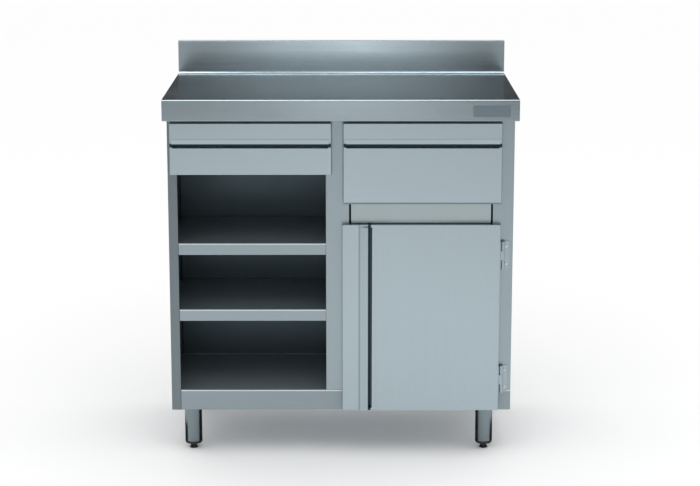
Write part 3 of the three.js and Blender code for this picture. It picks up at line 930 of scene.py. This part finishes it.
@dataclass
class Legs:
    """Round legs: tubes with a weld at the plate, grooved bushes and threaded levelling feet."""

    fittings: Fittings
    corners: tuple[str, ...] = ("front_left", "front_right", "rear_left", "rear_right")
    wall: float = 1.5 * MM
    weld: float = 2.4 * MM
    end_round: float = 0.6 * MM
    bush_gap: float = 0.3 * MM
    nose: float = 6.0 * MM
    nose_steps: int = 8
    groove: float = 0.5 * MM
    collar_radius: float = 9.0 * MM
    spindle_step: float = 3.0 * MM
    foot_height: float = 4.0 * MM
    thread_pitch: float = 1.75 * MM
    thread_depth: float = 0.5 * MM
    screw_offset: float = 31.0 * MM
    hole_radius: float = 6.3 * MM
    neck: float = 1.5 * MM
    tube_sides: int = 72
    foot_sides: int = 48
    # Rings of small forms, inward or outward and along, as shares of the form's size
    tube_end: ClassVar[tuple[Pair, ...]] = ((1.0, 0.0), (0.3, 0.3), (0.0, 1.0))
    bead: ClassVar[tuple[Pair, ...]] = ((0.0, 1.0), (0.35, 0.75), (0.8, 0.35), (1.0, 0.0))
    channel: ClassVar[tuple[Pair, ...]] = ((0.0, 0.0), (1.0, 0.6), (1.0, 1.6), (0.0, 2.2))
    sole: ClassVar[tuple[Pair, ...]] = ((2.0, 0.0), (0.6, 0.5), (0.0, 2.0))
    thread: ClassVar[tuple[Pair, ...]] = ((1.0, 0.15), (0.0, 0.5), (1.0, 0.85))

    def tube(self) -> bpy.types.Object:
        """Model one tube about the Z axis.

        Returns:
            The tube.
        """
        low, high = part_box(f"leg_tube_{self.corners[0]}")
        radius = (high.x - low.x) / 2.0
        bore = radius - self.wall
        edge = self.end_round
        rings = [(radius - edge * inward, low.z + edge * up) for inward, up in self.tube_end]
        rings += [(radius + self.weld * out, high.z - self.weld * down) for out, down in self.bead]
        rings += [(bore, high.z), (bore, low.z), rings[0]]
        return turned("leg_tube_master", rings, self.tube_sides, solid=False)

    def bush(self) -> bpy.types.Object:
        """Model one bush about the Z axis.

        Returns:
            The bush.
        """
        low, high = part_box(f"leg_bush_{self.corners[0]}")
        tube_low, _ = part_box(f"leg_tube_{self.corners[0]}")
        radius = (high.x - low.x) / 2.0
        shoulder = tube_low.z - self.bush_gap
        plug = radius - self.wall - self.bush_gap
        rings = [(self.hole_radius, low.z)]
        for step in range(self.nose_steps + 1):
            angle = math.pi / 2.0 * step / self.nose_steps
            out = radius - self.nose + self.nose * math.sin(angle)
            rings.append((out, low.z + self.nose * (1.0 - math.cos(angle))))
        neck = shoulder - self.neck
        rings += [(radius - self.groove * inward, neck + self.groove * up) for inward, up in self.channel]
        rings += [(radius, shoulder), (plug, shoulder), (plug, high.z), (self.hole_radius, high.z), rings[0]]
        return turned("leg_bush_master", rings, self.tube_sides, solid=False)

    def foot(self) -> bpy.types.Object:
        """Model one levelling foot about the Z axis.

        Returns:
            The foot, with its threaded spindle.
        """
        low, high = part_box(f"levelling_foot_{self.corners[0]}")
        bush_low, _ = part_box(f"leg_bush_{self.corners[0]}")
        pad = (high.x - low.x) / 2.0
        collar_top = bush_low.z - self.bush_gap
        edge, collar, top = self.end_round, self.collar_radius, self.foot_height
        spindle = collar - self.spindle_step
        rings = [(pad - edge * inward, low.z + edge * up) for inward, up in self.sole]
        rings += [
            (pad, top - edge),
            (pad - edge, top),
            (collar + edge, top),
            (collar, top + edge),
            (collar, collar_top - edge),
            (collar - edge, collar_top),
            (spindle - self.thread_depth, collar_top),
        ]
        turns = int((high.z - collar_top) / self.thread_pitch) - 1
        for number in range(turns):
            base = collar_top + number * self.thread_pitch
            rings += [
                (spindle - self.thread_depth * inward, base + self.thread_pitch * up)
                for inward, up in self.thread
            ]
        rings.append((spindle - self.thread_depth * 2.0, high.z))
        return turned("levelling_foot_master", rings, self.foot_sides)

    def build(self) -> None:
        """Copy the three shapes to every corner and add the plate screws."""
        tube, bush, foot = self.tube(), self.bush(), self.foot()
        for corner in self.corners:
            low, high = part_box(f"leg_tube_{corner}")
            middle = (low + high) / 2.0
            axis = Vector((middle.x, middle.y, 0.0))
            spot = Matrix.Translation(axis)
            made = copied(tube, f"leg_tube_round_{corner}", spot)
            self.fittings.fit(made, "carcass", Finishes.LEG, f"leg_tube_{corner}")
            made = copied(bush, f"leg_bush_moulded_{corner}", spot)
            self.fittings.fit(made, "carcass", Finishes.PLASTIC, f"leg_bush_{corner}")
            made = copied(foot, f"levelling_foot_threaded_{corner}", spot)
            self.fittings.fit(made, f"foot_{corner}", Finishes.PLASTIC, f"levelling_foot_{corner}")
            plate_low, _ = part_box(f"leg_plate_{corner}")
            reach = self.screw_offset
            places = [
                Vector((axis.x + side * reach, axis.y + end * reach, plate_low.z))
                for side in (-1.0, 1.0)
                for end in (-1.0, 1.0)
            ]
            self.fittings.screws(f"leg_plate_screws_{corner}", places, Facing.DOWN)
        for master in (tube, bush, foot):
            discard(master)


@dataclass
class FasciaPlate:
    """The bare plate on the right of the worktop's fascia."""

    fittings: Fittings
    width: float = 105.0 * MM
    height: float = 33.0 * MM
    from_right: float = 25.0 * MM
    from_below: float = 11.5 * MM
    thickness: float = 0.8 * MM
    corner: float = 3.5 * MM
    corner_steps: int = 6
    edge: float = 0.32 * MM
    edge_steps: int = 2
    rim: float = 1.2 * MM
    rim_depth: float = 0.15 * MM

    def build(self) -> None:
        """Model the plate on the fascia."""
        low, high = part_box("worktop")
        across = high.x - self.from_right - self.width / 2.0
        plane((across, low.y, low.z + self.from_below + self.height / 2.0), (self.width, self.height))
        edit_all()
        bpy.ops.mesh.bevel(offset=self.corner, segments=self.corner_steps, affect="VERTICES")
        bpy.ops.mesh.select_all(action="SELECT")
        push_back(-self.thickness)
        front = low.y - self.thickness
        pick_depth(front)
        bpy.ops.mesh.bevel(offset=self.edge, segments=self.edge_steps, affect="EDGES")
        pick_depth(front)
        bpy.ops.mesh.inset(thickness=self.rim)
        push_back(self.rim_depth)
        self.fittings.fit(end_piece("fascia_plate"), "carcass", Finishes.PLATE)


@dataclass
class DoorFittings:
    """Hinge screws and the magnetic catch with its pole plates."""

    fittings: Fittings
    leaf: float = 2.0 * MM
    screw_from_edge: float = 8.0 * MM
    screw_from_middle: float = 25.0 * MM
    edge: float = 1.2 * MM
    recess: float = 2.2 * MM
    recess_depth: float = 2.0 * MM
    pole: float = 2.4 * MM
    pole_margin: float = 4.28 * MM
    pole_start: float = 0.48 * MM
    pole_end: float = 3.0 * MM
    pole_edge: float = 0.36 * MM

    def hinge_screws(self) -> None:
        """Put two screws on each hinge leaf of the post."""
        for name in ("upper", "lower"):
            low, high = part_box(f"hinge_{name}_post_leaf")
            middle = (low.z + high.z) / 2.0
            across = high.x - self.screw_from_edge
            face = high.y - self.leaf
            places = [
                Vector((across, face, middle + side * self.screw_from_middle))
                for side in (-1.0, 1.0)
            ]
            self.fittings.screws(f"hinge_{name}_screws", places, Facing.FORWARD)

    def catch(self) -> None:
        """Model the catch's housing, its two pole plates and its screw."""
        low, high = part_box("door_catch")
        rounded_block("door_catch_housing", low, high, self.edge)
        bpy.ops.object.mode_set(mode="EDIT")
        pick_depth(low.y)
        bpy.ops.mesh.inset(thickness=self.recess)
        push_back(self.recess_depth)
        housing = end_piece("door_catch_housing")
        self.fittings.fit(housing, "carcass", Finishes.PLASTIC, "door_catch")
        margin = self.pole_margin
        poles = []
        for number, start in enumerate((low.x + margin, high.x - margin - self.pole)):
            pole_low = Vector((start, low.y + self.pole_start, low.z + margin))
            pole_high = Vector((start + self.pole, low.y + self.pole_end, high.z - margin))
            poles.append(rounded_block(f"pole_{number}", pole_low, pole_high, self.pole_edge, 2))
        self.fittings.fit(joined("door_catch_poles", poles), "carcass", Finishes.ZINC)
        spot = Vector((high.x, (low.y + high.y) / 2.0, (low.z + high.z) / 2.0))
        self.fittings.screws("door_catch_screw", [spot], Facing.RIGHT)

    def build(self) -> None:
        """Add the hinge screws and the catch."""
        self.hinge_screws()
        self.catch()


@dataclass
class DrawerFittings:
    """Screws of each drawer's front with a dark sheet of painted shade round it, and the hem of the deep
    drawer's box.
    """

    fittings: Fittings
    sheet: float = 1.2 * MM
    from_edge: float = 25.0 * MM
    spread: float = 0.36
    # Sheet of painted shade that shows round each front
    shade_sheet_proud: float = 3.2 * MM
    shade_sheet_drop: float = 4.5 * MM
    shade_sheet_width: float = 12.0 * MM
    shade_sheet_gap: float = 0.02 * MM
    shade_sheet_thickness: float = 0.25 * MM
    hem_height: float = 7.4 * MM
    hem_edge: float = 0.3 * MM

    def seal(self, side: str, drop: float) -> None:
        """Model the thin dark sheet round a drawer's front, painted shade for the gap between the front and
        the posts.

        Args:
            side: the drawer's side.
            drop: how much further the sheet reaches below the front.
        """
        low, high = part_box(f"{side}_drawer_front")
        low.z -= drop
        middle = ((low.x + high.x) / 2.0, high.y + self.shade_sheet_gap, (low.z + high.z) / 2.0)
        proud = self.shade_sheet_proud * 2.0
        plane(middle, (high.x - low.x + proud, high.z - low.z + proud))
        edit_all()
        bpy.ops.mesh.inset(thickness=self.shade_sheet_width)
        bpy.ops.mesh.delete(type="FACE")
        bpy.ops.mesh.select_all(action="SELECT")
        push_back(self.shade_sheet_thickness)
        self.fittings.fit(end_piece(f"{side}_drawer_shade_sheet"), f"{side}_drawer", Finishes.SEAL)

    def hem(self) -> None:
        """Model the hem under the front wall of the deep drawer's box."""
        low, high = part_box("right_drawer_box")
        edge = self.hem_edge
        foot = Vector((low.x + edge, low.y, low.z - self.hem_height))
        top = Vector((high.x - edge, low.y + self.sheet, low.z + edge))
        hem = rounded_block("right_drawer_box_hem", foot, top, edge, 2)
        self.fittings.fit(hem, "right_drawer", Finishes.DRAWER)

    def build(self) -> None:
        """Put four screws and a sheet of painted shade on each drawer, and the hem on the deep one."""
        for side in ("left", "right"):
            low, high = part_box(f"{side}_drawer_box")
            front_low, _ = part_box(f"{side}_drawer_front")
            middle = (low.x + high.x) / 2.0
            reach = (high.x - low.x) * self.spread
            heights = (max(low.z, front_low.z) + self.from_edge, high.z - self.from_edge)
            places = [
                Vector((middle + end * reach, low.y + self.sheet, height))
                for end in (-1.0, 1.0)
                for height in heights
            ]
            self.fittings.screws(f"{side}_drawer_front_screws", places, Facing.BACK, f"{side}_drawer")
        self.seal("left", 0.0)
        self.seal("right", self.shade_sheet_drop)
        self.hem()


# Studio

class CardStand(Enum):
    """How a card is set up, as its turn from lying flat."""

    FLAT = (0.0, 0.0, 0.0)
    FACING_FRONT = UPRIGHT
    FACING_SIDE = (math.pi / 2.0, 0.0, math.pi / 2.0)


@dataclass
class Card:
    """A dark or bright card round the set that only the steel sees."""

    name: str
    stand: CardStand
    middle: tuple[float, float, float]
    size: Pair
    tone: float

    def build(self) -> None:
        """Set the card up in its place."""
        card = plane(self.middle, self.size, self.stand.value)
        card.name = self.name
        material = bpy.data.materials.new(self.name)
        material.use_nodes = True
        recipe = Recipe(material.node_tree)
        tone = recipe.node("ShaderNodeEmission", sockets={"Color": (self.tone,) * 3})
        feed(recipe.tree, material.node_tree.nodes["Material Output"].inputs["Surface"], tone)
        card.data.materials.append(material)
        card.visible_camera = False
        card.visible_diffuse = False
        card.visible_shadow = False


@dataclass
class Studio:
    """A white floor under a white dome, with a softbox, and cards that the steel reflects."""

    floor_size: float = 120.0
    floor_tone: float = 0.97
    floor_tooth: tuple[float, ...] = (40.0, 40.0, 40.0)
    floor_contrast: float = 0.005
    horizon: float = 1.0
    overhead: float = 0.04
    overhead_power: float = 3.0
    softbox_place: tuple[float, float, float] = (0.0, -2.6, 3.2)
    softbox_target: tuple[float, float, float] = (0.0, -0.4, 0.0)
    softbox_size: tuple[float, float] = (3.0, 1.6)
    softbox_watts: float = 24.0
    camera_place: tuple[float, float, float] = (0.0198, -5.7564, 1.8307)
    camera_pitch: float = 0.2144
    camera_yaw: float = 0.0011
    focal_pixels: float = 1973.9
    picture_width: float = 700.0
    sensor: float = 36.0

    def floor(self) -> None:
        """Lay the floor."""
        clear_bench()
        bpy.ops.mesh.primitive_plane_add(size=self.floor_size)
        floor = bpy.context.object
        floor.name = "floor"
        material = bpy.data.materials.new("pale_floor")
        material.use_nodes = True
        shader = material.node_tree.nodes["Principled BSDF"]
        recipe = Recipe(material.node_tree)
        tooth = recipe.noise(self.floor_tooth, detail=3.0)
        tone = (self.floor_tone,) * 3
        dark = shaded(tone, 1.0 - self.floor_contrast)
        colour = recipe.mixed(tooth, dark, shaded(tone, 1.0 + self.floor_contrast))
        feed(recipe.tree, shader.inputs["Base Color"], colour)
        shader.inputs["Roughness"].default_value = 1.0
        shader.inputs["Specular IOR Level"].default_value = 0.0
        floor.data.materials.append(material)

    def dome(self) -> None:
        """Light the set with a white dome that is a little brighter overhead."""
        world = bpy.data.worlds.new("dome")
        world.use_nodes = True
        bpy.context.scene.world = world
        recipe = Recipe(world.node_tree)
        direction = recipe.node("ShaderNodeTexCoord", output="Generated")
        height = recipe.node("ShaderNodeSeparateXYZ", sockets={0: direction}, output="Z")
        strength = height.at_least(0.0) ** self.overhead_power * self.overhead + self.horizon
        feed(world.node_tree, world.node_tree.nodes["Background"].inputs["Strength"], strength)
        feed(world.node_tree, world.node_tree.nodes["Background"].inputs["Color"], (1.0, 1.0, 1.0))

    def softbox(self) -> None:
        """Hang the softbox, which fills the shadows and leaves no reflection of itself."""
        lamp = bpy.data.lights.new("softbox_front", "AREA")
        lamp.shape = "RECTANGLE"
        lamp.size, lamp.size_y = self.softbox_size
        lamp.energy = self.softbox_watts
        box = bpy.data.objects.new("softbox_front", lamp)
        box.location = self.softbox_place
        aim = Vector(self.softbox_target) - Vector(self.softbox_place)
        box.rotation_euler = aim.to_track_quat("-Z", "Y").to_euler()
        box.visible_glossy = False
        bpy.context.scene.collection.objects.link(box)

    def camera(self) -> None:
        """Stand the camera where the photograph was taken from."""
        data = bpy.data.cameras.new("camera")
        data.sensor_width = self.sensor
        data.sensor_fit = "HORIZONTAL"
        data.lens = self.focal_pixels * self.sensor / self.picture_width
        camera = bpy.data.objects.new("camera", data)
        camera.location = self.camera_place
        camera.rotation_euler = (math.pi / 2.0 - self.camera_pitch, 0.0, -self.camera_yaw)
        bpy.context.scene.collection.objects.link(camera)
        bpy.context.scene.camera = camera

    def cards(self) -> list[Card]:
        """List the cards: six in front, one behind, one at each side, two on the floor and one above.

        Returns:
            The cards.
        """
        front, side, flat = CardStand.FACING_FRONT, CardStand.FACING_SIDE, CardStand.FLAT
        low, high, wall = (6.3, 0.9), (6.3, 4.1), (8.0, 3.0)
        return [
            Card("card_low_left", front, middle=(-3.85, -7.0, 0.65), size=low, tone=0.55),
            Card("card_low_right", front, middle=(3.85, -7.0, 0.65), size=low, tone=0.42),
            Card("card_high_left", front, middle=(-3.85, -7.0, 3.15), size=high, tone=0.1),
            Card("card_high_right", front, middle=(3.85, -7.0, 3.15), size=high, tone=0.1),
            Card("card_high_middle", front, middle=(0.0, -7.0, 3.15), size=(1.4, 4.1), tone=0.75),
            Card("card_front_middle", front, middle=(0.0, -7.1, 0.6), size=(0.8, 0.8), tone=2.5),
            Card("card_behind", front, middle=(0.0, 3.2, 2.1), size=(12.0, 1.8), tone=0.05),
            Card("card_left", side, middle=(-4.2, -1.0, 1.6), size=wall, tone=0.25),
            Card("card_right", side, middle=(4.2, -1.0, 1.6), size=wall, tone=0.25),
            Card("card_floor", flat, middle=(0.0, -7.6, 0.01), size=(12.0, 3.2), tone=0.35),
            Card("card_under", flat, middle=(0.0, 0.0, 0.004), size=(1.2, 0.4), tone=0.03),
            Card("strip_above", flat, middle=(0.0, 0.5, 4.0), size=(3.4, 1.3), tone=6.0),
        ]

    def build(self) -> None:
        """Set up floor, light, cards and camera."""
        self.camera()
        self.floor()
        self.dome()
        self.softbox()
        for card in self.cards():
            card.build()
        bpy.context.scene.view_settings.view_transform = "Standard"


def corners(box: tuple[Vector, Vector]) -> list[list[float]]:
    """A box as plain lists of numbers."""
    return [list(box[0]), list(box[1])]


def main() -> None:
    """Dress the solids, add the fittings and set up the studio."""
    logging.basicConfig(level=logging.INFO, format="%(name)s: %(message)s")
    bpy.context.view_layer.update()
    paint = Paintshop()
    Sheetwork(paint, BendSmoother()).dress()
    screw = ScrewHead()
    fittings = Fittings(paint, screw)
    for maker in (Legs, FasciaPlate, DoorFittings, DrawerFittings):
        maker(fittings).build()
    discard(screw.master)
    Studio().build()


if __name__ == "__main__":
    main()
